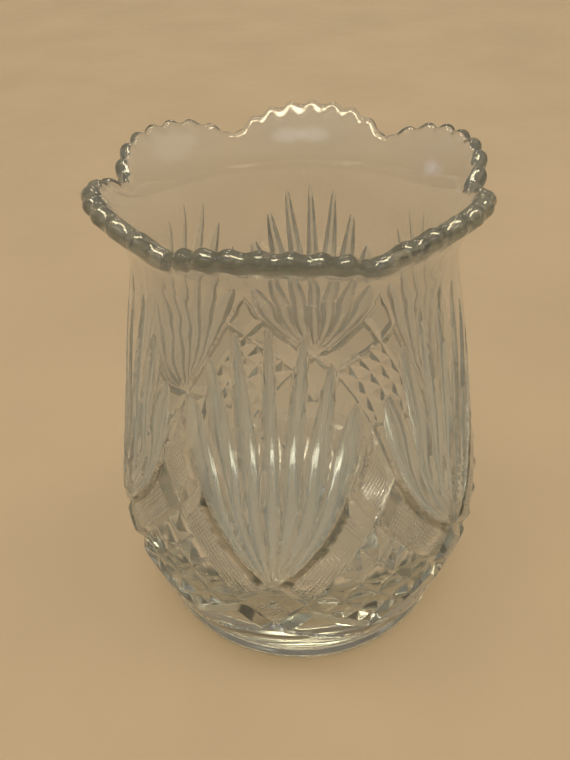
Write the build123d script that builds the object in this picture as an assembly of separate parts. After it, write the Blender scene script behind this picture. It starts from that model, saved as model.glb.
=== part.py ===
from build123d import *
from math import radians, sin, cos
import os

# A cut crystal vase: one thick piece of clear glass with a turned body, a flared lip of
# six arched lobes, and six equal sectors of cut relief. Millimetres, +Z up, origin at the
# centre of the plane that the foot stands on. Angles run from -Y towards +X, in degrees,
# and the middle of one fan faces -Y.

# ---- whole vase ----
HEIGHT = 150.0              # foot plane to the top of a lobe
SECTORS = 6                 # fans round the body, and lobes round the lip
SECTOR_ANGLE = 360.0 / SECTORS
HALF_SECTOR = SECTOR_ANGLE / 2
FLOOR_Z = 10.3              # bottom of the inside
FOOT_RADIUS = 49.0          # outer edge of the ring that the vase stands on
FOOT_RING_WIDTH = 6.5
FOOT_RECESS = 1.6           # depth of the hollow inside that ring
RECESS_SLOPE = 2.0          # width of the sloping edge of the hollow

# Outside of the uncut glass from foot to lip, as (radius, height).
OUTER_POINTS = [
    (FOOT_RADIUS, 0.0),
    (53.2, 12.0),
    (56.2, 22.0),
    (60.2, 38.0),
    (60.1, 48.0),
    (57.6, 62.0),
    (54.5, 79.0),
    (51.4, 97.0),
    (47.9, 115.0),
    (45.9, 127.0),
    (48.6, 138.5),
    (54.3, 146.0),
    (59.0, 150.5),
]

# Inside of the glass from the middle of its floor to the lip, as (radius, height).
INNER_POINTS = [
    (0.0, FLOOR_Z),
    (12.0, 11.1),
    (24.0, 13.9),
    (34.5, 18.6),
    (43.0, 24.6),
    (49.0, 31.0),
    (52.8, 39.0),
    (55.1, 47.0),
    (52.7, 61.1),
    (49.6, 78.1),
    (46.5, 96.1),
    (43.0, 114.2),
    (40.8, 128.0),
    (44.2, 141.2),
    (50.2, 149.6),
    (55.4, 154.2),
]
INNER_START = (1.0, 0.0)    # direction of the inside at the middle of its floor
INNER_END = (0.75, 0.66)    # direction of the inside at the lip

# ---- lip: each lobe is an arch, and two arches meet in a notch ----
NOTCH_Z = 142.4
NOTCH_RADIUS = 50.0
TRIM_DEPTH = 12.0           # how far below the top of a lobe the glass is trimmed

# ---- fan of seven hollow flutes: (angle, height, width), middle flute first ----
FLUTES = [
    [(0.0, 53.0, 1.6), (0.0, 62.0, 3.4), (0.0, 75.0, 5.2), (0.0, 92.0, 5.2), (0.0, 112.0, 4.4), (0.0, 128.0, 0.8)],
    [(1.7, 54.5, 1.6), (3.5, 62.0, 3.4), (5.6, 75.0, 5.2), (6.3, 92.0, 5.6), (8.6, 112.0, 4.2), (10.5, 125.5, 0.8)],
    [(4.2, 56.5, 1.6), (7.0, 62.0, 3.4), (11.4, 75.0, 5.2), (13.6, 92.0, 6.0), (16.6, 108.0, 3.8), (18.5, 118.0, 0.8)],
    [(8.6, 60.0, 1.6), (13.0, 67.5, 3.6), (17.3, 75.5, 5.0), (22.0, 90.0, 6.2), (24.0, 98.0, 4.0), (25.0, 106.0, 0.8)],
]
FLUTE_DEPTH = 1.3

# ---- mitres: long V grooves between which the ribbons and their crossings stand proud ----
FAN_MITRE = [(-21.0, 29.0), (-9.0, 40.0), (0.0, 49.0), (12.5, 62.5), (21.0, 77.5), (26.0, 90.0), (30.0, 99.5)]
FIELD_MITRE = [(-4.0, 22.0), (0.0, 27.0), (9.0, 40.0), (19.5, 53.0), (30.0, 66.3), (38.5, 80.0)]
MITRE_DEPTH = 1.6
MITRE_SPREAD = 1.3          # half the width of a mitre over its depth

# ---- field of pyramids between the ribbons, cut by two crossing sets of V grooves ----
FIELD_TOP_Z = 66.3          # where the field's two upper edges meet
CELL_ANGLE = 10.5           # width of one pyramid round the body
CELL_RISE = 13.0            # height of one pyramid
GROOVES_EACH_WAY = 3
GROOVE_FALL = 26.0          # height that the longest groove drops
GROOVE_LOWEST_Z = 24.0
GROOVE_DEPTH = 2.0
GROOVE_SPREAD = 1.7         # half the width of a groove over its depth
GROOVE_SPANS = 3            # straight spans of one groove
ABOVE_GLASS = 1.0           # how far the cutters stand out of the glass


def outline():
    """The outer line of the vase, and its closed half section in the XZ plane."""
    outer = Spline(*OUTER_POINTS)
    inner = Spline(*INNER_POINTS, tangents=[INNER_START, INNER_END])
    ring_inner = FOOT_RADIUS - FOOT_RING_WIDTH
    underside = Polyline(
        (0, FOOT_RECESS), (ring_inner - RECESS_SLOPE, FOOT_RECESS), (ring_inner, 0), (FOOT_RADIUS, 0)
    )
    lip = Line(outer @ 1, inner @ 1)
    axis = Line((0, FLOOR_Z), (0, FOOT_RECESS))
    return outer, make_face(Plane.XZ * (underside + outer + lip + inner + axis))


OUTER_LINE, SECTION = outline()


def place_on_glass(angle, height):
    """Point and outward normal of the uncut glass."""
    low = 0.0
    high = 1.0
    for _ in range(30):
        middle = (low + high) / 2
        if (OUTER_LINE @ middle).Y < height:
            low = middle
        else:
            high = middle
    radius = (OUTER_LINE @ low).X
    slope = OUTER_LINE % low
    outward = Vector(sin(radians(angle)), -cos(radians(angle)), 0)
    point = outward * radius + Vector(0, 0, height)
    normal = outward * slope.Y - Vector(0, 0, slope.X)
    return point, normal.normalized()


def planes_along(path):
    """Planes square to a path over the glass, one at each point, with +Y out of the glass."""
    places = [place_on_glass(angle, height) for angle, height in path]
    planes = []
    for i, (point, normal) in enumerate(places):
        before = places[max(i - 1, 0)][0]
        after = places[min(i + 1, len(places) - 1)][0]
        along = (after - before).normalized()
        planes.append(Plane(origin=point, x_dir=normal.cross(along), z_dir=along))
    return planes


def outward_sign(plane):
    """Whether a plane's Y points away from the vase's axis or towards it."""
    return 1 if plane.y_dir.dot(Vector(plane.origin.X, plane.origin.Y, 0)) > 0 else -1


def round_cutter(stations, depth):
    """Hollow of round section: at each (angle, height, width) it is that wide on the glass."""
    widest = max(width for _, _, width in stations)
    planes = planes_along([(angle, height) for angle, height, _ in stations])
    sections = []
    for plane, (_, _, width) in zip(planes, stations):
        cut = depth * width / widest
        radius = width**2 / (8 * cut) + cut / 2
        sections.append(plane * Pos(0, outward_sign(plane) * (radius - cut)) * Circle(radius))
    return loft(sections)


def vee_cutter(path, depth, spread):
    """V groove over the glass along a path of (angle, height) points."""
    half = spread * (depth + ABOVE_GLASS)
    sections = []
    for plane in planes_along(path):
        outward = outward_sign(plane)
        corners = [(0, -outward * depth), (-half, outward * ABOVE_GLASS), (half, outward * ABOVE_GLASS)]
        sections.append(plane * make_face(Polyline(*corners, close=True)))
    return loft(sections)


def other_side(stations):
    """The same stations mirrored about the middle of the fan."""
    return [(-station[0], *station[1:]) for station in stations]


def flute_cutters():
    cutters = [round_cutter(FLUTES[0], FLUTE_DEPTH)]
    for stations in FLUTES[1:]:
        cutters.append(round_cutter(stations, FLUTE_DEPTH))
        cutters.append(round_cutter(other_side(stations), FLUTE_DEPTH))
    return cutters


def groove_cutters(side):
    """Parallel V grooves that fall towards one side (+1 or -1) across a field of pyramids."""
    cutters = []
    for number in range(1, GROOVES_EACH_WAY + 1):
        angle = HALF_SECTOR - side * number * CELL_ANGLE / 2
        top = FIELD_TOP_Z - number * CELL_RISE / 2
        fall = min(GROOVE_FALL, top - GROOVE_LOWEST_Z)
        path = []
        for i in range(GROOVE_SPANS + 1):
            drop = fall * i / GROOVE_SPANS
            path.append((angle + side * drop * CELL_ANGLE / CELL_RISE, top - drop))
        cutters.append(vee_cutter(path, GROOVE_DEPTH, GROOVE_SPREAD))
    return cutters


def lip_trimmer():
    """All that lies above the arched edge of the lip."""
    half_chord = NOTCH_RADIUS * sin(radians(HALF_SECTOR))
    rise = HEIGHT - NOTCH_Z
    arch_radius = (half_chord**2 + rise**2) / (2 * rise)
    arch = Pos(0, 0, HEIGHT - arch_radius) * Rot(90, 0, 0) * Cylinder(arch_radius, 4 * FOOT_RADIUS)
    block = Pos(0, 0, HEIGHT) * Cylinder(2 * FOOT_RADIUS, 2 * TRIM_DEPTH)
    for number in range(SECTORS // 2):
        block -= Rot(0, 0, number * SECTOR_ANGLE) * arch
    return block


def round_the_sectors(cutters):
    """Each cutter repeated in every sector."""
    return [Rot(0, 0, number * SECTOR_ANGLE) * cutter for number in range(SECTORS) for cutter in cutters]


def glass_vase():
    vase = revolve(SECTION, axis=Axis.Z) - lip_trimmer()
    for path in (FAN_MITRE, FIELD_MITRE):
        vase -= round_the_sectors([vee_cutter(path, MITRE_DEPTH, MITRE_SPREAD)])
        vase -= round_the_sectors([vee_cutter(other_side(path), MITRE_DEPTH, MITRE_SPREAD)])
    vase -= round_the_sectors(groove_cutters(-1))
    vase -= round_the_sectors(groove_cutters(1))
    vase -= round_the_sectors(flute_cutters())
    return vase.solid()


vase = glass_vase()
vase.label = "glass_vase"
print("glass_vase", vase.is_valid, round(vase.volume))
os.makedirs("parts", exist_ok=True)
export_step(vase, "parts/glass_vase.step")
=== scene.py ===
import math

import bpy
import numpy as np
from mathutils import Matrix, Vector


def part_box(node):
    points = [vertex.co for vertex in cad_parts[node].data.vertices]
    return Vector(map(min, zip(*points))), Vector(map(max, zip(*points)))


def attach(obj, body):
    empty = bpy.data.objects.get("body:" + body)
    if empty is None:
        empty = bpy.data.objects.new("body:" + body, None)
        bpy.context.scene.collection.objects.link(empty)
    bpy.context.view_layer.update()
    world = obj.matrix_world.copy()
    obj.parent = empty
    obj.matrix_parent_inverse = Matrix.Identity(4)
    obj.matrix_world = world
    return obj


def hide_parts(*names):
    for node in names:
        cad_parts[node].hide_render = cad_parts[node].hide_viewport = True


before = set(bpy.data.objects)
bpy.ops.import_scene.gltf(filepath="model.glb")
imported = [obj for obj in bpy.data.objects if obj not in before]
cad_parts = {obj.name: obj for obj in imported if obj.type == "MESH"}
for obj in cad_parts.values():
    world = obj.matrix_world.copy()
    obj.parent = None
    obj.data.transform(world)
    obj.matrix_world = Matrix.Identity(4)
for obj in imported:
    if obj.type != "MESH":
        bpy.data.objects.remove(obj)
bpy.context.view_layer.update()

# A cut crystal vase. Lengths in this script are millimetres of a vase 150 mm high, and
# UNIT turns them into metres at the height that the frame has. Angles run round the
# vase in degrees from -Y towards +X, and the middle of one fan is at 0.
VASE_LOW, VASE_HIGH = (Vector(corner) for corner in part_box("glass_vase"))
UNIT = (VASE_HIGH.z - VASE_LOW.z) / 150.0

# ---- turned shape of the glass ----
SECTORS = 6
SECTOR = 360.0 / SECTORS
HALF = SECTOR / 2
# Outside of the uncut glass from foot to lip, as (radius, height).
OUTER_LINE = [
    (49.0, 0.0), (53.2, 12.0), (56.2, 22.0), (60.2, 38.0), (60.1, 48.0), (57.6, 62.0), (54.5, 79.0),
    (51.4, 97.0), (47.9, 115.0), (45.9, 127.0), (48.6, 138.5), (54.3, 146.0), (59.0, 150.5),
]
WALL = 5.0                 # thickness of the body
BOWL_TOP_Z = 46.0          # where the inside starts to curve in to its floor
BOWL_LINE = [
    (52.4, 38.0), (49.0, 31.0), (43.0, 24.6), (34.5, 18.6), (24.0, 13.9), (12.0, 11.1), (0.0, 10.3),
]
LIP_THICKNESS = 5.2        # thickness of the lip, and width of its rounded edge
THINNING_HEIGHT = 25.0     # over which the lip's thickness goes over to the wall's
FOOT_HOLLOW = 1.6          # depth of the hollow under the vase
# Outside of the rolled foot from the pattern down to the hollow, after its first point.
FOOT_LINE = [
    (52.6, 10.4), (51.0, 7.8), (50.0, 5.6), (49.9, 4.4), (50.4, 3.4), (50.5, 2.2), (50.3, 1.0),
    (49.6, 0.2), (48.6, 0.0), (43.5, 0.0), (42.3, 0.5), (41.2, 1.4), (39.5, FOOT_HOLLOW),
]
HOLLOW_RINGS = (30.0, 20.0, 10.0)   # radii of the mesh's rings over the hollow

# ---- scalloped lip ----
LOBE_EDGE_Z = 147.4        # height of the middle of the rounded edge on a lobe
NOTCH_EDGE_Z = 140.4       # and in the notch between two lobes
LOBE_ROUNDNESS = 2.3       # 2 is a parabola, more is a fuller lobe
WAVES_PER_LOBE = 8
WAVE_HEIGHT = 0.36
WAVE_SWELL = 0.08          # how much thicker the edge is on a wave
WAVE_RISE = 3.0            # how fast the waves grow beside a notch

# ---- cut pattern, as (angle from the middle of a fan, height) ----
FAN_FOOT = (0.0, 49.0)
FAN_SIDE = [FAN_FOOT, (12.5, 62.5), (21.0, 77.5), (26.0, 90.0), (30.0, 99.5)]
CROSS_SIDE = (22.0, 78.8)   # side corner of the diamond where two bands cross
FIELD_TOP = (30.0, 66.3)
FIELD_SIDE = (9.0, 40.0)
FIELD_FOOT = (30.0, 21.5)
SMALL_FOOT = (0.0, 26.0)    # lowest corner of the small diamond under a fan
SKIRT_FOOT = (30.0, 13.0)   # lowest point of the pattern
CELL_RISE = 13.0            # height of one pyramid
RIBBON_FAN_DEPTH = 2.5      # of a ribbon's sloping side, at the fan's edge
RIBBON_FAN_SLOPE = 0.95
RIBBON_FIELD_DEPTH = 1.7    # and at the field's
RIBBON_FIELD_SLOPE = 0.95
RIBBON_TOP = 0.1
MITRE_DEPTH = 2.0           # of the cuts between ribbons and diamonds
END_SLOPE = 0.55            # of a ribbon's end
BEVEL_SLOPE = 0.62          # round a diamond's flat top
DIAMOND_TOP = 0.15
FAN_WALL_SLOPE = 1.8        # under the edge of a fan
PYRAMID_DEPTH = 1.5
FIELD_WALL_SLOPE = 0.9
SKIRT_DEPTH = 1.5
FLUTE_DEPTH = 2.1
FLUTE_POWER = (2.0, 1.6)   # section of a flute at its foot and above: 2 is scooped, 1 a plain V
FLUTE_STEEP = (0.6, 0.95)  # depth of a narrow flute for its half width, at its foot and above
FLUTE_POINT = 0.5          # 1 is a straight-sided tip, less is a rounder one
FAN_LAND = 0.6              # degrees of plain glass between the last flute and the fan's edge
FLUTE_CHANGE_Z = (66.0, 96.0)   # heights between which "at its foot" goes over to "above"
FLUTE_PART_Z = 92.0         # height where neighbouring flutes start to part
PART_REACH = 4.0            # of the bend with which they do
DEPTH_REACH = 0.3           # of the bend where a flute gets wide enough to be fully deep
FLUTE_TIPS = [(0.0, 128.0), (10.5, 125.5), (18.5, 118.0), (25.0, 106.0)]
RIDGES_LOW = (1 / 7, 3 / 7, 5 / 7, 1.0)      # ridges at its foot, as shares of its half width
RIDGES_HIGH = (0.105, 0.365, 0.655, 1.0)     # and above
FLAT_MM_PER_DEGREE = 57.0 * math.pi / 180    # round the body, unrolled
Z_STEP = 0.01               # to either side, for the slope of a curve over the height
T_STEP = 0.05               # and over the angle

# ---- numbers for the surfaces of the pattern; most have the side of the fan added ----
FAN_FACES = 0
CROSS_FACES = 10
RIBBON_FACES = 18
SMALL_FACES = 30
FIELD_FACES = 40
SKIRT_FACES = 60
CROSS_WALL = 3              # a face's own number, doubled before it is added
SKIRT_WALL = 4
RIBBON_WALL = 5
FACETS = 3                  # the first of a pyramid's four, likewise doubled
NET_LABELS = (CROSS_FACES, RIBBON_FACES, RIBBON_FACES + 1, SMALL_FACES)
SHADED_SIDE_LABELS = (        # sides of the ribbons that face a fan, which the material paints darker as shade
    RIBBON_FACES + 2, RIBBON_FACES + 3,
    RIBBON_FACES + 2 * RIBBON_WALL, RIBBON_FACES + 2 * RIBBON_WALL + 1,
)

# ---- mesh ----
COLUMNS = 480               # points round the vase; halved twice towards each middle
RELIEF_ROWS = 138
RELIEF_LOW_Z = 13.0         # the pattern's mesh runs between these heights
RELIEF_HIGH_Z = 129.0
CREASE_STEPS = 9            # halvings in the search for a crease between two points
LIP_ROWS = 9                # up the flare, and down again inside
BEAD_ROWS = 9               # over the lip's rounded edge, with both its ends
EDGE_STEPS = 8              # corrections in the search for where that edge starts
WALL_ROWS = 20
BOWL_ROWS = 18
FOOT_ROWS = 28
INSIDE_FULL_ROWS = 0        # rows at full width before the first halving
FOOT_FULL_ROWS = 20
SOFT_EDGE = 0.3             # how far the normals on both sides of a crease lean together

# ---- glass ----
GLASS_IOR = 1.52
CLEARNESS = 0.97            # light that the polished glass passes
GLASS_TINTS = ((0.875, 0.90, 0.92, 1), (0.925, 0.93, 0.945, 1))
TINT_SCALE = 28.0           # of the slow changes in tint
GLASS_ROUGHNESS = (0.015, 0.04)
POLISH_SCALE = 90.0
POLISH_BAND = (0.35, 0.75)  # of the noise, over which the roughness changes
RIPPLE_SCALE = 110.0
RIPPLE_HEIGHT = 0.00006     # metres
CUT_TINT = 0.6              # how far the fans' flutes go towards ground glass
CUT_COLOUR = (0.66, 0.80, 0.92, 1)
CUT_ROUGHNESS = 0.10
CUT_FROST = 0.08            # light that the ground flutes scatter instead of passing
CUT_FULL_DEPTH = 0.6        # depth of flute, in millimetres, from which it is fully ground
PAINTED_SHADE_AMOUNT = 0.8            # how far the ribbons' steep sides go towards a painted dark olive shade, in place of the dark strip that refraction gives there
# colour of that painted shade on the ribbons' steep sides
PAINTED_SHADE_COLOUR = (0.22, 0.20, 0.14, 1)
NET_PITCH = 0.0028          # twice the spacing of the engraved lines, in metres
NET_DEPTH = 0.00012
NET_RADIUS = 0.058          # of the body where the net is, in metres
NET_STEEPNESS = 0.78        # makes the net's cells taller than they are wide
SHADOW_TINT = (0.97, 0.965, 0.95, 1)
ABSORPTION_COLOUR = (0.34, 0.35, 0.20, 1)
ABSORPTION_DENSITY = 8.0

TONE_BAND = (0.3, 0.7)      # of a noise, over which one tint goes over to the other

# ---- floor and light ----
FLOOR_TINTS = ((0.285, 0.22, 0.162, 1), (0.31, 0.24, 0.178, 1))
FLOOR_TINT_SCALE = 9.0
FLOOR_ROUGHNESS = (0.52, 0.68)
FLOOR_POLISH_SCALE = 60.0
FLOOR_SPECULAR = 0.2
FLOOR_GRAIN_SCALE = 900.0
FLOOR_GRAIN_HEIGHT = 0.0002     # metres
FLOOR_GRAIN_STRENGTH = 0.3
FLOOR_REACH = 4.0
FLOOR_GAP = 0.0002          # below the foot, so that the two never coincide
ROOM_BRIGHTNESS = 0.72
# The room's own light, as (place from straight down, 0, to straight up, 1; colour).
ROOM_RAMP = [
    (0.0, (0.04, 0.033, 0.022)),
    (0.2, (0.05, 0.044, 0.032)),
    (0.5, (0.30, 0.285, 0.25)),
    (1.0, (0.36, 0.39, 0.42)),
]
# Windows and lit walls, as (degrees round the vase from the front, degrees up, reach in degrees,
# brightness).
ROOM_WINDOWS = [
    (-11.0, 44.0, 12.0, (1.3, 1.4, 1.5)),
    (10.0, 44.0, 12.0, (1.3, 1.4, 1.5)),
    (250.0, 13.0, 8.0, (0.9, 1.15, 1.8)),
    (105.0, 35.0, 18.0, (0.5, 0.5, 0.48)),
    (183.0, 38.0, 8.0, (6.0, 5.5, 4.3)),
    (12.0, 80.0, 13.0, (34.0, 30.5, 21.0)),
    (-80.0, 72.0, 11.0, (30.0, 27.0, 19.0)),
    (85.0, 68.0, 11.0, (26.0, 23.0, 16.0)),
    (205.0, 66.0, 6.0, (16.0, 14.0, 9.5)),
    (270.0, 50.0, 6.0, (10.0, 9.0, 6.2)),
]
# Lamps, as (name, place, size, power, colour).
LAMPS = [
    ("key", (0.55, 0.1, 0.9), 0.4, 0.2, (1.0, 0.93, 0.80)),
    ("fill", (-0.35, 0.45, 1.5), 0.6, 0.2, (1.0, 0.95, 0.88)),
]
LAMP_AIM = (0, 0, 0.05)

# ---- camera: at the photograph's angle ----
CAMERA_REACH = 189.1       # from the vase's axis, along the floor
CAMERA_HEIGHT = 220.4
CAMERA_TURN = 8.03         # round the vase from the middle of the front fan
CAMERA_PITCH = 36.95       # down
CAMERA_YAW = -1.14
CAMERA_ROLL = -2.11
CAMERA_LENS = 34.8


def smooth_curve(points):
    """Natural cubic spline y(x) through (x, y) points."""
    x, y = np.array(points, float).T
    n = len(x)
    h = np.diff(x)
    a = np.zeros((n, n))
    b = np.zeros(n)
    a[0, 0] = a[-1, -1] = 1.0
    for i in range(1, n - 1):
        a[i, i - 1:i + 2] = h[i - 1], 2 * (h[i - 1] + h[i]), h[i]
        b[i] = 3 * ((y[i + 1] - y[i]) / h[i] - (y[i] - y[i - 1]) / h[i - 1])
    c = np.linalg.solve(a, b)
    slope = np.diff(y) / h - h * (2 * c[:-1] + c[1:]) / 3
    cubic = np.diff(c) / (3 * h)

    def value(at):
        at = np.asarray(at, float)
        i = np.clip(np.searchsorted(x, at) - 1, 0, n - 2)
        d = at - x[i]
        return y[i] + d * (slope[i] + d * (c[i] + d * cubic[i]))

    return value


outer_radius = smooth_curve([(z, r) for r, z in OUTER_LINE])
side_height = smooth_curve(FAN_SIDE)
side_angle = smooth_curve([(z, t) for t, z in FAN_SIDE])


def outer_normal(z):
    """Outward normal (radial, up) of the uncut outside."""
    slope = (outer_radius(z + Z_STEP) - outer_radius(z - Z_STEP)) / (2 * Z_STEP)
    size = np.hypot(slope, 1.0)
    return 1.0 / size, -slope / size


def off_line(t, z, start, end):
    """Signed distance from a straight line over the unrolled glass, positive above or left."""
    dx = (end[0] - start[0]) * FLAT_MM_PER_DEGREE
    dz = end[1] - start[1]
    size = math.hypot(dx, dz)
    return ((z - start[1]) * dx - (t - start[0]) * FLAT_MM_PER_DEGREE * dz) / size


def below_side(t, z):
    """Distance below the curved side of a fan."""
    slope = (side_height(t + T_STEP) - side_height(t - T_STEP)) / (2 * T_STEP * FLAT_MM_PER_DEGREE)
    return (side_height(t) - z) / np.hypot(1.0, slope)


def most(*parts):
    """The largest of several depths, and which of them it is."""
    stack = np.stack(np.broadcast_arrays(*parts))
    pick = stack.argmax(0)
    return np.take_along_axis(stack, pick[None], 0)[0], pick


def least(*parts):
    """The smallest of several depths, and which of them it is."""
    depth, pick = most(*(-part for part in parts))
    return -depth, pick


def soft_step(value, reach):
    """Zero below zero and the value above it, with a smooth bend between."""
    return (value + np.sqrt(value * value + reach * reach)) / 2


def flutes(t, z):
    """Depth of the fan's flutes and the number of the deepest one, or -1 on plain glass."""
    low_z, high_z = FLUTE_CHANGE_Z
    share = np.clip((z - low_z) / (high_z - low_z), 0, 1)
    share = share * share * (3 - 2 * share)
    half_fan = side_angle(FLUTE_PART_Z - soft_step(FLUTE_PART_Z - z, PART_REACH)) - FAN_LAND
    steep = FLUTE_STEEP[0] + (FLUTE_STEEP[1] - FLUTE_STEEP[0]) * share
    power = FLUTE_POWER[0] + (FLUTE_POWER[1] - FLUTE_POWER[0]) * share
    best = np.zeros(np.shape(t))
    number = np.full(np.shape(t), -1)
    inner = np.zeros(np.shape(t))
    for j, (tip_angle, tip_z) in enumerate(FLUTE_TIPS):
        ridge = half_fan * (RIDGES_LOW[j] + (RIDGES_HIGH[j] - RIDGES_LOW[j]) * share)
        if j == 0:
            middle = np.zeros(np.shape(t))
            half = ridge
        else:
            middle = (ridge + inner) / 2
            half = (ridge - inner) / 2
        inner = ridge
        part = np.clip(soft_step(z - FLUTE_PART_Z, PART_REACH) / (tip_z - FLUTE_PART_Z), 0, 1)
        middle = middle + (tip_angle - middle) * part
        half = np.maximum(half * (1 - part) ** FLUTE_POINT, 1e-3) * FLAT_MM_PER_DEGREE
        off = np.abs(t - middle) * FLAT_MM_PER_DEGREE
        middle_depth = -soft_step(FLUTE_DEPTH - steep * half, DEPTH_REACH) + FLUTE_DEPTH
        depth = middle_depth * np.maximum(1 - (off / half) ** power, 0)
        depth = np.where(z < tip_z, depth, 0.0)
        number = np.where(depth > best, j, number)
        best = np.maximum(best, depth)
    return best, number


def relief(theta, z):
    """Depth of the cut pattern below the turned glass, and a number for the surface there."""
    turned = (theta + HALF) % SECTOR - HALF
    t = np.abs(turned)
    side = np.where(turned < 0, 1, 0)
    fan_depth, flute = flutes(t, z)
    under = below_side(t, z)
    over_field = off_line(t, z, FIELD_SIDE, FIELD_TOP)
    past_cross = off_line(t, z, CROSS_SIDE, FIELD_TOP)
    past_small = -off_line(t, z, FAN_FOOT, FIELD_SIDE)
    in_small = off_line(t, z, SMALL_FOOT, FIELD_SIDE)
    over_border = off_line(t, z, FIELD_SIDE, FIELD_FOOT)
    over_skirt = off_line(t, z, SMALL_FOOT, SKIRT_FOOT)

    ribbon, ribbon_face = most(
        np.full(t.shape, RIBBON_TOP),
        RIBBON_FAN_DEPTH - RIBBON_FAN_SLOPE * under,
        RIBBON_FIELD_DEPTH - RIBBON_FIELD_SLOPE * over_field,
        MITRE_DEPTH + END_SLOPE * past_cross,
        MITRE_DEPTH + END_SLOPE * past_small,
    )
    ribbon, ribbon_wall = least(ribbon, FAN_WALL_SLOPE * under)
    ribbon_face = np.where(ribbon_wall == 1, RIBBON_WALL, ribbon_face)

    top = np.full(t.shape, DIAMOND_TOP)
    cross, cross_face = most(
        top, MITRE_DEPTH - BEVEL_SLOPE * under, MITRE_DEPTH - BEVEL_SLOPE * past_cross
    )
    cross, cross_wall = least(cross, FAN_WALL_SLOPE * under)
    cross_face = np.where(cross_wall == 1, CROSS_WALL, cross_face)
    small, small_face = most(
        top, MITRE_DEPTH - BEVEL_SLOPE * past_small, MITRE_DEPTH - BEVEL_SLOPE * in_small
    )

    rate = (FIELD_TOP[1] - FIELD_SIDE[1]) / (FIELD_TOP[0] - FIELD_SIDE[0])
    left = (FIELD_TOP[1] + rate * (t - HALF) - z) / CELL_RISE
    right = (FIELD_TOP[1] - rate * (t - HALF) - z) / CELL_RISE
    left_high = 1 - 2 * np.abs(left % 1 - 0.5)
    right_high = 1 - 2 * np.abs(right % 1 - 0.5)
    facet = np.where(left_high < right_high, left % 1 < 0.5, 2 + (right % 1 < 0.5))
    field, field_face = most(
        PYRAMID_DEPTH * (1 - np.minimum(left_high, right_high)),
        RIBBON_FIELD_DEPTH + FIELD_WALL_SLOPE * over_field,
        SKIRT_DEPTH - FIELD_WALL_SLOPE * over_border,
    )
    field_face = np.where(field_face == 0, FACETS + facet, field_face)

    skirt, skirt_face = most(
        np.full(t.shape, RIBBON_TOP),
        SKIRT_DEPTH + FIELD_WALL_SLOPE * over_border,
        SKIRT_DEPTH - FIELD_WALL_SLOPE * over_skirt,
        MITRE_DEPTH + END_SLOPE * in_small,
    )
    skirt, skirt_wall = least(skirt, FAN_WALL_SLOPE * over_skirt)
    skirt_face = np.where(skirt_wall == 1, SKIRT_WALL, skirt_face)

    depth = np.zeros(t.shape)
    label = np.zeros(t.shape, int)
    outside_fan = under > 0
    in_cross = outside_fan & (past_cross > 0)
    in_ribbon = outside_fan & (past_cross <= 0) & (past_small <= 0) & (over_field > 0)
    in_diamond = outside_fan & (past_small > 0) & (in_small > 0)
    in_field = outside_fan & (over_field <= 0) & (over_border > 0)
    in_skirt = outside_fan & (over_border <= 0) & (in_small <= 0) & (over_skirt > 0)
    fan_face = np.where(flute < 0, 0, np.where(flute == 0, 1, 2 * flute + side))
    cross_face = np.where(cross_face == 0, 0, 2 * cross_face + side)
    small_face = np.where(small_face == 0, 0, 2 * small_face + side)
    picks = [
        (~outside_fan, fan_depth, FAN_FACES + fan_face),
        (in_cross, cross, CROSS_FACES + cross_face),
        (in_ribbon, ribbon, RIBBON_FACES + 2 * ribbon_face + side),
        (in_diamond, small, SMALL_FACES + small_face),
        (in_field, field, FIELD_FACES + 2 * field_face + side),
        (in_skirt, skirt, SKIRT_FACES + 2 * skirt_face + side),
    ]
    for where, value, number in picks:
        depth = np.where(where, value, depth)
        label = np.where(where, number, label)
    return np.maximum(depth, 0.0), label


def on_creases(theta, z):
    """Moves grid points by up to half a cell, so that they lie on the pattern's creases."""
    _, label = relief(theta, z)
    shift_t = np.zeros_like(theta)
    shift_z = np.zeros_like(z)
    nearest = np.full(theta.shape, 0.5)
    for down, along in ((0, 1), (0, -1), (1, 0), (-1, 0)):
        there_t = np.roll(theta, (-down, -along), (0, 1))
        there_z = np.roll(z, (-down, -along), (0, 1))
        there = np.roll(label, (-down, -along), (0, 1))
        step_t = (there_t - theta + 180) % 360 - 180
        step_z = there_z - z
        differs = there != label
        if down == 1:
            differs[-1] = False
        if down == -1:
            differs[0] = False
        low = np.zeros_like(theta)
        high = np.ones_like(theta)
        for _ in range(CREASE_STEPS):
            middle = (low + high) / 2
            _, seen = relief(theta + step_t * middle, z + step_z * middle)
            same = seen == label
            low = np.where(same, middle, low)
            high = np.where(same, high, middle)
        better = differs & (high < nearest)
        nearest = np.where(better, high, nearest)
        shift_t = np.where(better, step_t * high, shift_t)
        shift_z = np.where(better, step_z * high, shift_z)
    moved = nearest < 0.5
    shift_z[0] = shift_z[-1] = 0
    return theta + shift_t, z + shift_z, moved


def place(theta, radius, z):
    """Points in millimetres at angles round the vase."""
    turn = np.radians(theta)
    return np.stack([radius * np.sin(turn), -radius * np.cos(turn), z + 0 * turn], -1)


def relief_points():
    """The cut outside: points (rows, columns, 3), and the grid's places and creases."""
    z_rows = np.linspace(RELIEF_LOW_Z, RELIEF_HIGH_Z, RELIEF_ROWS)
    theta, z = np.meshgrid(np.arange(COLUMNS) * 360.0 / COLUMNS, z_rows)
    theta, z, moved = on_creases(theta, z)
    depth, _ = relief(theta, z)
    out, up = outer_normal(z)
    return place(theta, outer_radius(z) - depth * out, z - depth * up), theta, z, moved


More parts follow.
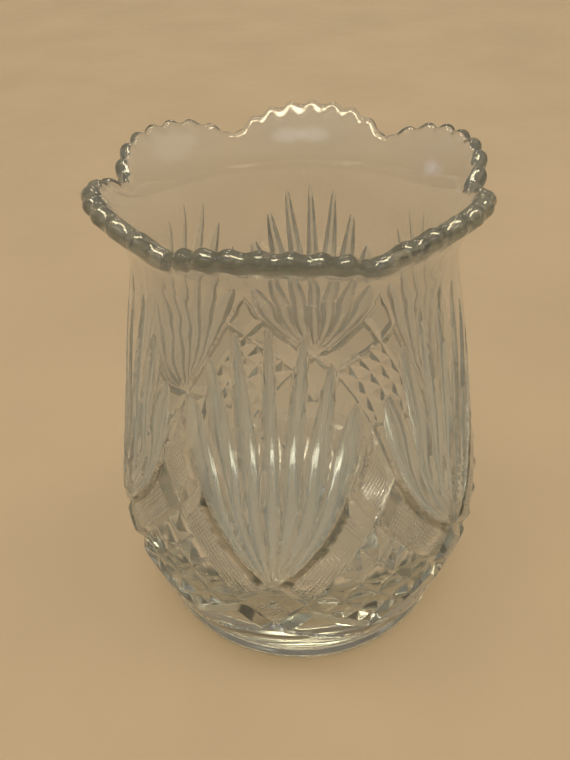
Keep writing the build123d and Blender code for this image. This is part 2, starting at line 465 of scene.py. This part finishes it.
def lip_points(columns):
    """The flared lip from the top of the relief, round its edge and down the inside."""
    theta = np.arange(columns) * 360.0 / columns
    turned = (theta + HALF) % SECTOR - HALF
    arch = 1 - np.abs(turned / HALF) ** LOBE_ROUNDNESS
    wave = np.cos(np.radians(turned * 360.0 * WAVES_PER_LOBE / SECTOR)) * WAVE_HEIGHT
    grown = wave * np.clip(arch * WAVE_RISE, 0, 1)
    edge_z = NOTCH_EDGE_Z + (LOBE_EDGE_Z - NOTCH_EDGE_Z) * arch + grown
    half = LIP_THICKNESS / 2
    # the rounded edge starts on the outside where its middle is at edge_z: first a guess
    start_z = edge_z - half * 0.7
    for _ in range(EDGE_STEPS):
        out, up = outer_normal(start_z)
        start_z = start_z - ((start_z - half * up) - edge_z)
    out, up = outer_normal(start_z)
    rows = []
    for i in range(1, LIP_ROWS + 1):
        share = i / LIP_ROWS
        z = RELIEF_HIGH_Z + (start_z - RELIEF_HIGH_Z) * share
        rows.append(place(theta, outer_radius(z), z))
    middle_r = outer_radius(start_z) - half * out
    middle_z = start_z - half * up
    bead = half * (1 + WAVE_SWELL * wave / WAVE_HEIGHT)
    for turn in np.linspace(0, math.pi, BEAD_ROWS)[1:-1]:
        r = middle_r + bead * (math.cos(turn) * out - math.sin(turn) * up)
        z = middle_z + bead * (math.cos(turn) * up + math.sin(turn) * out)
        rows.append(place(theta, r, z))
    for i in range(LIP_ROWS + 1):
        share = 1 - i / LIP_ROWS
        z = RELIEF_HIGH_Z + (start_z - RELIEF_HIGH_Z) * share
        out_z, up_z = outer_normal(z)
        rows.append(place(theta, outer_radius(z) - LIP_THICKNESS * out_z, z - LIP_THICKNESS * up_z))
    return rows


def inside_point(z):
    """A point (radius, height) of the inside, straight in from the outside at z."""
    share = np.clip((RELIEF_HIGH_Z - z) / THINNING_HEIGHT, 0, 1)
    thickness = LIP_THICKNESS + (WALL - LIP_THICKNESS) * share * share * (3 - 2 * share)
    out, up = outer_normal(z)
    return float(outer_radius(z) - thickness * out), float(z - thickness * up)


def inside_rows(columns):
    """The smooth inside, from under the lip down to the middle of the floor."""
    theta = np.arange(columns) * 360.0 / columns
    line = [inside_point(z) for z in np.linspace(RELIEF_HIGH_Z, BOWL_TOP_Z, WALL_ROWS)]
    bend = np.array(line[-3:] + BOWL_LINE)
    share = np.concatenate([[0], np.cumsum(np.hypot(*np.diff(bend.T)))])
    radius = smooth_curve(list(zip(share, bend[:, 0])))
    height = smooth_curve(list(zip(share, bend[:, 1])))
    for at in np.linspace(share[2], share[-1], BOWL_ROWS)[1:-1]:
        line.append((float(radius(at)), float(height(at))))
    return [place(theta, r, z) for r, z in line[1:]]


def foot_rows(columns):
    """The plain foot, from the bottom of the relief to the hollow under the vase."""
    theta = np.arange(columns) * 360.0 / columns
    start = float(outer_radius(RELIEF_LOW_Z))
    points = np.array([(start, RELIEF_LOW_Z)] + FOOT_LINE)
    share = np.concatenate([[0], np.cumsum(np.hypot(*np.diff(points.T)))])
    radius = smooth_curve(list(zip(share, points[:, 0])))
    height = smooth_curve(list(zip(share, points[:, 1])))
    rows = []
    for at in np.linspace(0, share[-1], FOOT_ROWS)[1:]:
        rows.append(place(theta, float(radius(at)), max(float(height(at)), 0.0)))
    for r in HOLLOW_RINGS:
        rows.append(place(theta, r, FOOT_HOLLOW))
    return rows


class Shell:
    """Triangles between rows of points that run round the vase."""

    def __init__(self):
        self.points = []
        self.count = 0
        self.faces = []

    def row(self, points):
        start = self.count
        self.points.append(points)
        self.count += len(points)
        return np.arange(start, self.count)

    def strip(self, low, high, flip=None):
        """Two rows of the same length; flip says which quads take the other diagonal."""
        low_next = np.roll(low, -1)
        high_next = np.roll(high, -1)
        if flip is None:
            flip = np.zeros(len(low), bool)
        first = np.stack([low, low_next, np.where(flip, high, high_next)], 1)
        second = np.stack([np.where(flip, low_next, low), high_next, high], 1)
        self.faces += [first, second]

    def halve(self, low, high):
        """A row and the next one with half as many points."""
        a, b, c = low[0::2], low[1::2], np.roll(low[0::2], -1)
        high_next = np.roll(high, -1)
        for corners in ([a, b, high], [b, high_next, high], [b, c, high_next]):
            self.faces.append(np.stack(corners, 1))

    def cap(self, row, centre):
        middle = self.row(np.array([centre]))[0]
        self.faces.append(np.stack([row, np.roll(row, -1), np.full(len(row), middle)], 1))


def glass_shell():
    shell = Shell()
    points, theta, z, moved = relief_points()
    ids = [shell.row(points[i]) for i in range(RELIEF_ROWS)]
    for i in range(RELIEF_ROWS - 1):
        a, b = moved[i], np.roll(moved[i], -1)
        c, d = np.roll(moved[i + 1], -1), moved[i + 1]
        straight = (a & c).astype(int)
        crossed = (b & d).astype(int)
        pa, pb = points[i], np.roll(points[i], -1, 0)
        pc, pd = np.roll(points[i + 1], -1, 0), points[i + 1]
        shorter = np.linalg.norm(pb - pd, axis=1) < np.linalg.norm(pa - pc, axis=1)
        flip = np.where(straight == crossed, shorter, crossed > straight)
        shell.strip(ids[i], ids[i + 1], flip)
    relief_count = sum(len(f) for f in shell.faces)

    previous = ids[-1]
    for row in lip_points(COLUMNS):
        current = shell.row(row)
        shell.strip(previous, current)
        previous = current
    previous = coarsen(shell, previous, inside_rows, INSIDE_FULL_ROWS)
    shell.cap(previous, (0.0, 0.0, BOWL_LINE[-1][1]))

    previous = ids[0]
    start = len(shell.faces)
    previous = coarsen(shell, previous, foot_rows, FOOT_FULL_ROWS)
    shell.cap(previous, (0.0, 0.0, FOOT_HOLLOW))
    for i in range(start, len(shell.faces)):
        shell.faces[i] = shell.faces[i][:, ::-1]
    return np.concatenate(shell.points), np.concatenate(shell.faces), relief_count, theta, z


def coarsen(shell, previous, rows_of, full_rows):
    """Adds rows at full width, then at a half and a quarter of it."""
    columns = COLUMNS
    total = len(rows_of(columns))
    for i in range(total):
        if i in (full_rows, full_rows + 2):
            columns //= 2
            current = shell.row(rows_of(columns)[i])
            shell.halve(previous, current)
        else:
            current = shell.row(rows_of(columns)[i])
            shell.strip(previous, current)
        previous = current
    return previous


def corner_normals(points, faces, group):
    """Normals at the corners of faces: kept apart where groups meet, and softened a little there."""
    corners = points[faces]
    cross = np.cross(corners[:, 1] - corners[:, 0], corners[:, 2] - corners[:, 0])
    size = np.linalg.norm(cross, axis=1, keepdims=True)
    unit = cross / np.maximum(size, 1e-12)
    groups = int(group.max()) + 1
    key = faces * groups + group[:, None]
    apart = np.zeros((len(points) * groups, 3))
    whole = np.zeros((len(points), 3))
    for k in range(3):
        one = corners[:, (k + 1) % 3] - corners[:, k]
        two = corners[:, (k + 2) % 3] - corners[:, k]
        lengths = np.linalg.norm(one, axis=1) * np.linalg.norm(two, axis=1)
        cosine = (one * two).sum(1) / np.maximum(lengths, 1e-12)
        angle = np.arccos(np.clip(cosine, -1, 1))[:, None]
        np.add.at(apart, key[:, k], unit * angle)
        np.add.at(whole, faces[:, k], unit * angle)

    def normalized(vectors):
        return vectors / np.maximum(np.linalg.norm(vectors, axis=-1, keepdims=True), 1e-12)

    own = normalized(apart[key])
    shared = normalized(whole[faces])
    return normalized(own * (1 - SOFT_EDGE) + shared * SOFT_EDGE)


def point_attribute(mesh, name, amount):
    """A number on each point of the mesh, for the material; zero beyond the given points."""
    values = np.zeros(len(mesh.vertices), np.float32)
    values[:len(amount)] = amount
    mesh.attributes.new(name, "FLOAT", "POINT").data.foreach_set("value", values)


def glass_object():
    points, faces, relief_count, theta, z = glass_shell()
    flat_t = theta.ravel()
    flat_z = z.ravel()
    # which surface of the pattern each relief face belongs to, read at its middle
    group = np.zeros(len(faces), int)
    ring = faces[:relief_count]
    ring_t = flat_t[ring]
    ring_t = ring_t[:, :1] + (ring_t - ring_t[:, :1] + 180) % 360 - 180
    _, group[:relief_count] = relief(ring_t.mean(1), flat_z[ring].mean(1))

    mesh = bpy.data.meshes.new("glass_vase_cut")
    mesh.from_pydata((points * UNIT).tolist(), [], faces.tolist())
    mesh.polygons.foreach_set("use_smooth", np.ones(len(faces), bool))
    normals = corner_normals(points, faces, group)
    mesh.update()

    _, label = relief(flat_t, flat_z)
    from_middle = np.abs((flat_t + HALF) % SECTOR - HALF)
    fan_depth, _ = flutes(from_middle, flat_z)
    in_fan = below_side(from_middle, flat_z) <= 0
    point_attribute(mesh, "net", np.isin(label, NET_LABELS))
    point_attribute(mesh, "cut", np.where(in_fan, np.clip(fan_depth / CUT_FULL_DEPTH, 0, 1), 0))
    # painted shade: marks the ribbons' sides that face a fan, which the material darkens
    point_attribute(mesh, "steep", np.isin(label, SHADED_SIDE_LABELS))
    mesh.normals_split_custom_set(normals.reshape(-1, 3).tolist())
    mesh.update()
    print("glass faces", len(faces), "points", len(points), "bad", mesh.validate())
    glass = bpy.data.objects.new("glass_vase_cut", mesh)
    bpy.context.scene.collection.objects.link(glass)
    return glass


def material(name):
    made = bpy.data.materials.new(name)
    made.use_nodes = True
    made.node_tree.nodes.clear()
    return made, made.node_tree.nodes, made.node_tree.links


def arithmetic(nodes, links, operation, first, second=None):
    """One arithmetic node on sockets or numbers, and its result."""
    node = nodes.new("ShaderNodeMath")
    node.operation = operation
    for socket, value in zip(node.inputs, (first, second)):
        if value is None:
            continue
        if isinstance(value, (int, float)):
            socket.default_value = value
        else:
            links.new(value, socket)
    return node.outputs[0]


def noise(nodes, links, place_in, scale, detail):
    node = nodes.new("ShaderNodeTexNoise")
    node.inputs["Scale"].default_value = scale
    node.inputs["Detail"].default_value = detail
    links.new(place_in, node.inputs["Vector"])
    return node.outputs["Fac"]


def attribute(nodes, name):
    node = nodes.new("ShaderNodeAttribute")
    node.attribute_name = name
    return node.outputs["Fac"]


def colour_mix(nodes, links, amount, first, second, blend="MIX"):
    """Two colours, each a socket or a plain colour, mixed by an amount."""
    node = nodes.new("ShaderNodeMix")
    node.data_type = "RGBA"
    node.blend_type = blend
    node.clamp_result = False
    links.new(amount, node.inputs["Factor"])
    sockets = [socket for socket in node.inputs if socket.type == "RGBA"]
    for socket, colour in zip(sockets, (first, second)):
        if isinstance(colour, tuple):
            socket.default_value = colour
        else:
            links.new(colour, socket)
    return [socket for socket in node.outputs if socket.type == "RGBA"][0]


def two_tones(nodes, links, amount, tones):
    """A colour that goes from one tone to the other over the middle of a noise."""
    ramp = nodes.new("ShaderNodeValToRGB")
    for element, position, tone in zip(ramp.color_ramp.elements, TONE_BAND, tones):
        element.position = position
        element.color = tone
    links.new(amount, ramp.inputs["Fac"])
    return ramp.outputs["Color"]


def map_range(nodes, links, value, to_range, from_range=(0.0, 1.0)):
    node = nodes.new("ShaderNodeMapRange")
    node.inputs["From Min"].default_value, node.inputs["From Max"].default_value = from_range
    node.inputs["To Min"].default_value, node.inputs["To Max"].default_value = to_range
    links.new(value, node.inputs["Value"])
    return node


def bump(nodes, links, height, distance, strength=1.0, under=None):
    node = nodes.new("ShaderNodeBump")
    node.inputs["Strength"].default_value = strength
    node.inputs["Distance"].default_value = distance
    links.new(height, node.inputs["Height"])
    if under is not None:
        links.new(under, node.inputs["Normal"])
    return node.outputs["Normal"]


def engraved_net(nodes, links, place_in):
    """Height of the fine crossed lines on the ribbons and diamonds, 0 to 1."""
    split = nodes.new("ShaderNodeSeparateXYZ")
    links.new(place_in, split.inputs[0])
    around = arithmetic(nodes, links, "ARCTAN2", split.outputs["X"], split.outputs["Y"])
    around = arithmetic(nodes, links, "MULTIPLY", around, NET_RADIUS)
    height = arithmetic(nodes, links, "MULTIPLY", split.outputs["Z"], NET_STEEPNESS)
    lines = []
    for operation in ("ADD", "SUBTRACT"):
        along = arithmetic(nodes, links, operation, around, height)
        phase = arithmetic(nodes, links, "MULTIPLY", along, 2 * math.pi / NET_PITCH)
        wave = arithmetic(nodes, links, "SINE", phase)
        lines.append(arithmetic(nodes, links, "ABSOLUTE", wave))
    crossed = arithmetic(nodes, links, "MINIMUM", *lines)
    return arithmetic(nodes, links, "MULTIPLY", crossed, attribute(nodes, "net"))


def clear_glass():
    made, nodes, links = material("clear_glass")
    out = nodes.new("ShaderNodeOutputMaterial")
    glass = nodes.new("ShaderNodeBsdfPrincipled")
    glass.inputs["IOR"].default_value = GLASS_IOR
    place_in = nodes.new("ShaderNodeTexCoord").outputs["Object"]
    cut = attribute(nodes, "cut")

    colour = two_tones(nodes, links, noise(nodes, links, place_in, TINT_SCALE, 2.0), GLASS_TINTS)
    amount = arithmetic(nodes, links, "MULTIPLY", cut, CUT_TINT)
    colour = colour_mix(nodes, links, amount, colour, CUT_COLOUR)
    # painted shade: the ribbons' steep sides are darkened towards olive, in place of the dark strip
    # that refraction gives there
    amount = arithmetic(nodes, links, "MULTIPLY", attribute(nodes, "steep"), PAINTED_SHADE_AMOUNT)
    colour = colour_mix(nodes, links, amount, colour, PAINTED_SHADE_COLOUR)
    links.new(colour, glass.inputs["Base Color"])

    frost = arithmetic(nodes, links, "MULTIPLY", cut, CUT_FROST)
    passed = arithmetic(nodes, links, "SUBTRACT", CLEARNESS, frost)
    links.new(passed, glass.inputs["Transmission Weight"])

    uneven = noise(nodes, links, place_in, POLISH_SCALE, 3.0)
    polish = map_range(nodes, links, uneven, GLASS_ROUGHNESS, POLISH_BAND)
    rough = arithmetic(nodes, links, "MULTIPLY", cut, CUT_ROUGHNESS)
    rough = arithmetic(nodes, links, "ADD", polish.outputs["Result"], rough)
    links.new(rough, glass.inputs["Roughness"])

    ripple = bump(nodes, links, noise(nodes, links, place_in, RIPPLE_SCALE, 1.0), RIPPLE_HEIGHT)
    engraved = bump(nodes, links, engraved_net(nodes, links, place_in), NET_DEPTH, under=ripple)
    links.new(engraved, glass.inputs["Normal"])

    # light reaches the floor through the glass
    rays = nodes.new("ShaderNodeLightPath")
    through = nodes.new("ShaderNodeBsdfTransparent")
    through.inputs[0].default_value = SHADOW_TINT
    mix = nodes.new("ShaderNodeMixShader")
    links.new(rays.outputs["Is Shadow Ray"], mix.inputs[0])
    links.new(glass.outputs[0], mix.inputs[1])
    links.new(through.outputs[0], mix.inputs[2])
    links.new(mix.outputs[0], out.inputs[0])
    body = nodes.new("ShaderNodeVolumeAbsorption")
    body.inputs["Color"].default_value = ABSORPTION_COLOUR
    body.inputs["Density"].default_value = ABSORPTION_DENSITY
    links.new(body.outputs[0], out.inputs["Volume"])
    return made


def floor_finish():
    made, nodes, links = material("pale_floor")
    out = nodes.new("ShaderNodeOutputMaterial")
    paint = nodes.new("ShaderNodeBsdfPrincipled")
    place_in = nodes.new("ShaderNodeTexCoord").outputs["Object"]
    patches = noise(nodes, links, place_in, FLOOR_TINT_SCALE, 4.0)
    links.new(two_tones(nodes, links, patches, FLOOR_TINTS), paint.inputs["Base Color"])
    uneven = noise(nodes, links, place_in, FLOOR_POLISH_SCALE, 3.0)
    matt = map_range(nodes, links, uneven, FLOOR_ROUGHNESS)
    links.new(matt.outputs["Result"], paint.inputs["Roughness"])
    grain = noise(nodes, links, place_in, FLOOR_GRAIN_SCALE, 2.0)
    grain = bump(nodes, links, grain, FLOOR_GRAIN_HEIGHT, FLOOR_GRAIN_STRENGTH)
    links.new(grain, paint.inputs["Normal"])
    paint.inputs["Specular IOR Level"].default_value = FLOOR_SPECULAR
    links.new(paint.outputs[0], out.inputs[0])
    return made


def pale_floor():
    mesh = bpy.data.meshes.new("floor")
    reach = FLOOR_REACH
    corners = [(-reach, -reach, 0), (reach, -reach, 0), (reach, reach, 0), (-reach, reach, 0)]
    mesh.from_pydata(corners, [], [(0, 1, 2, 3)])
    mesh.materials.append(floor_finish())
    floor = bpy.data.objects.new("floor", mesh)
    floor.location.z = VASE_LOW.z - FLOOR_GAP
    bpy.context.scene.collection.objects.link(floor)


def lamp(name, place_at, size, power, colour):
    """A square lamp that points at the vase and lights it, but isn't mirrored in it."""
    data = bpy.data.lights.new(name, "AREA")
    data.size = size
    data.energy = power
    data.color = colour
    light = bpy.data.objects.new(name, data)
    light.location = place_at
    light.rotation_euler = (Vector(LAMP_AIM) - Vector(place_at)).to_track_quat("-Z", "Y").to_euler()
    light.visible_glossy = False
    bpy.context.scene.collection.objects.link(light)


def direction(turn, rise):
    """Direction that many degrees round the vase from the front and that many up."""
    turn, rise = math.radians(turn), math.radians(rise)
    return math.sin(turn) * math.cos(rise), -math.cos(turn) * math.cos(rise), math.sin(rise)


def room():
    """The light of the room: dim below, soft overhead, with windows and lit walls."""
    world = bpy.data.worlds.new("room")
    bpy.context.scene.world = world
    world.use_nodes = True
    nodes, links = world.node_tree.nodes, world.node_tree.links
    back = nodes["Background"]
    place_in = nodes.new("ShaderNodeTexCoord").outputs["Generated"]
    split = nodes.new("ShaderNodeSeparateXYZ")
    links.new(place_in, split.inputs[0])
    ramp = nodes.new("ShaderNodeValToRGB")
    links.new(split.outputs["Z"], ramp.inputs["Fac"])
    while len(ramp.color_ramp.elements) < len(ROOM_RAMP):
        ramp.color_ramp.elements.new(0.5)
    for element, (position, tone) in zip(ramp.color_ramp.elements, ROOM_RAMP):
        element.position = position
        element.color = (*tone, 1)
    plain = ramp.outputs["Color"]
    lit = plain
    for turn, rise, reach, glow in ROOM_WINDOWS:
        spot = nodes.new("ShaderNodeVectorMath")
        spot.operation = "DOT_PRODUCT"
        links.new(place_in, spot.inputs[0])
        spot.inputs[1].default_value = direction(turn, rise)
        edge = math.cos(math.radians(reach))
        soft = map_range(nodes, links, spot.outputs["Value"], (0.0, 1.0), (edge, 1.0))
        soft.interpolation_type = "SMOOTHSTEP"
        lit = colour_mix(nodes, links, soft.outputs["Result"], lit, (*glow, 1), "ADD")
    # like a lamp, a window isn't seen itself, only the light it gives
    seen = nodes.new("ShaderNodeLightPath").outputs["Is Camera Ray"]
    links.new(colour_mix(nodes, links, seen, lit, plain), back.inputs["Color"])
    back.inputs["Strength"].default_value = ROOM_BRIGHTNESS


def lights():
    room()
    for settings in LAMPS:
        lamp(*settings)
    bpy.context.scene.view_settings.view_transform = "Standard"
    # light crosses many glass surfaces; caustics would add the light that shadow rays
    # already let through
    paths = bpy.context.scene.cycles
    paths.caustics_refractive = False
    paths.caustics_reflective = False
    paths.max_bounces = 32
    paths.glossy_bounces = 24
    paths.transmission_bounces = 32


def camera():
    data = bpy.data.cameras.new("camera")
    data.lens = CAMERA_LENS
    data.sensor_width = 36.0
    data.clip_start = 0.01
    view = bpy.data.objects.new("camera", data)
    bpy.context.scene.collection.objects.link(view)
    bpy.context.scene.camera = view
    turn = math.radians(CAMERA_TURN)
    across, along = CAMERA_REACH * math.sin(turn), -CAMERA_REACH * math.cos(turn)
    place_at = Vector((across, along, CAMERA_HEIGHT)) * UNIT
    pitch, yaw, roll = (math.radians(a) for a in (CAMERA_PITCH, CAMERA_YAW, CAMERA_ROLL))
    level_reach = math.cos(pitch)
    forward = Vector((math.sin(yaw) * level_reach, math.cos(yaw) * level_reach, -math.sin(pitch)))
    level = Vector((math.cos(yaw), -math.sin(yaw), 0))
    upward = level.cross(forward)
    right = math.cos(roll) * level + math.sin(roll) * upward
    up = -math.sin(roll) * level + math.cos(roll) * upward
    axes = Matrix((right, up, -forward)).transposed()
    turned = Matrix.Rotation(turn, 3, "Z") @ axes
    view.matrix_world = Matrix.Translation(place_at) @ turned.to_4x4()


vase = glass_object()
vase.data.materials.append(clear_glass())
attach(vase, "root")
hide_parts("glass_vase")
pale_floor()
lights()
camera()
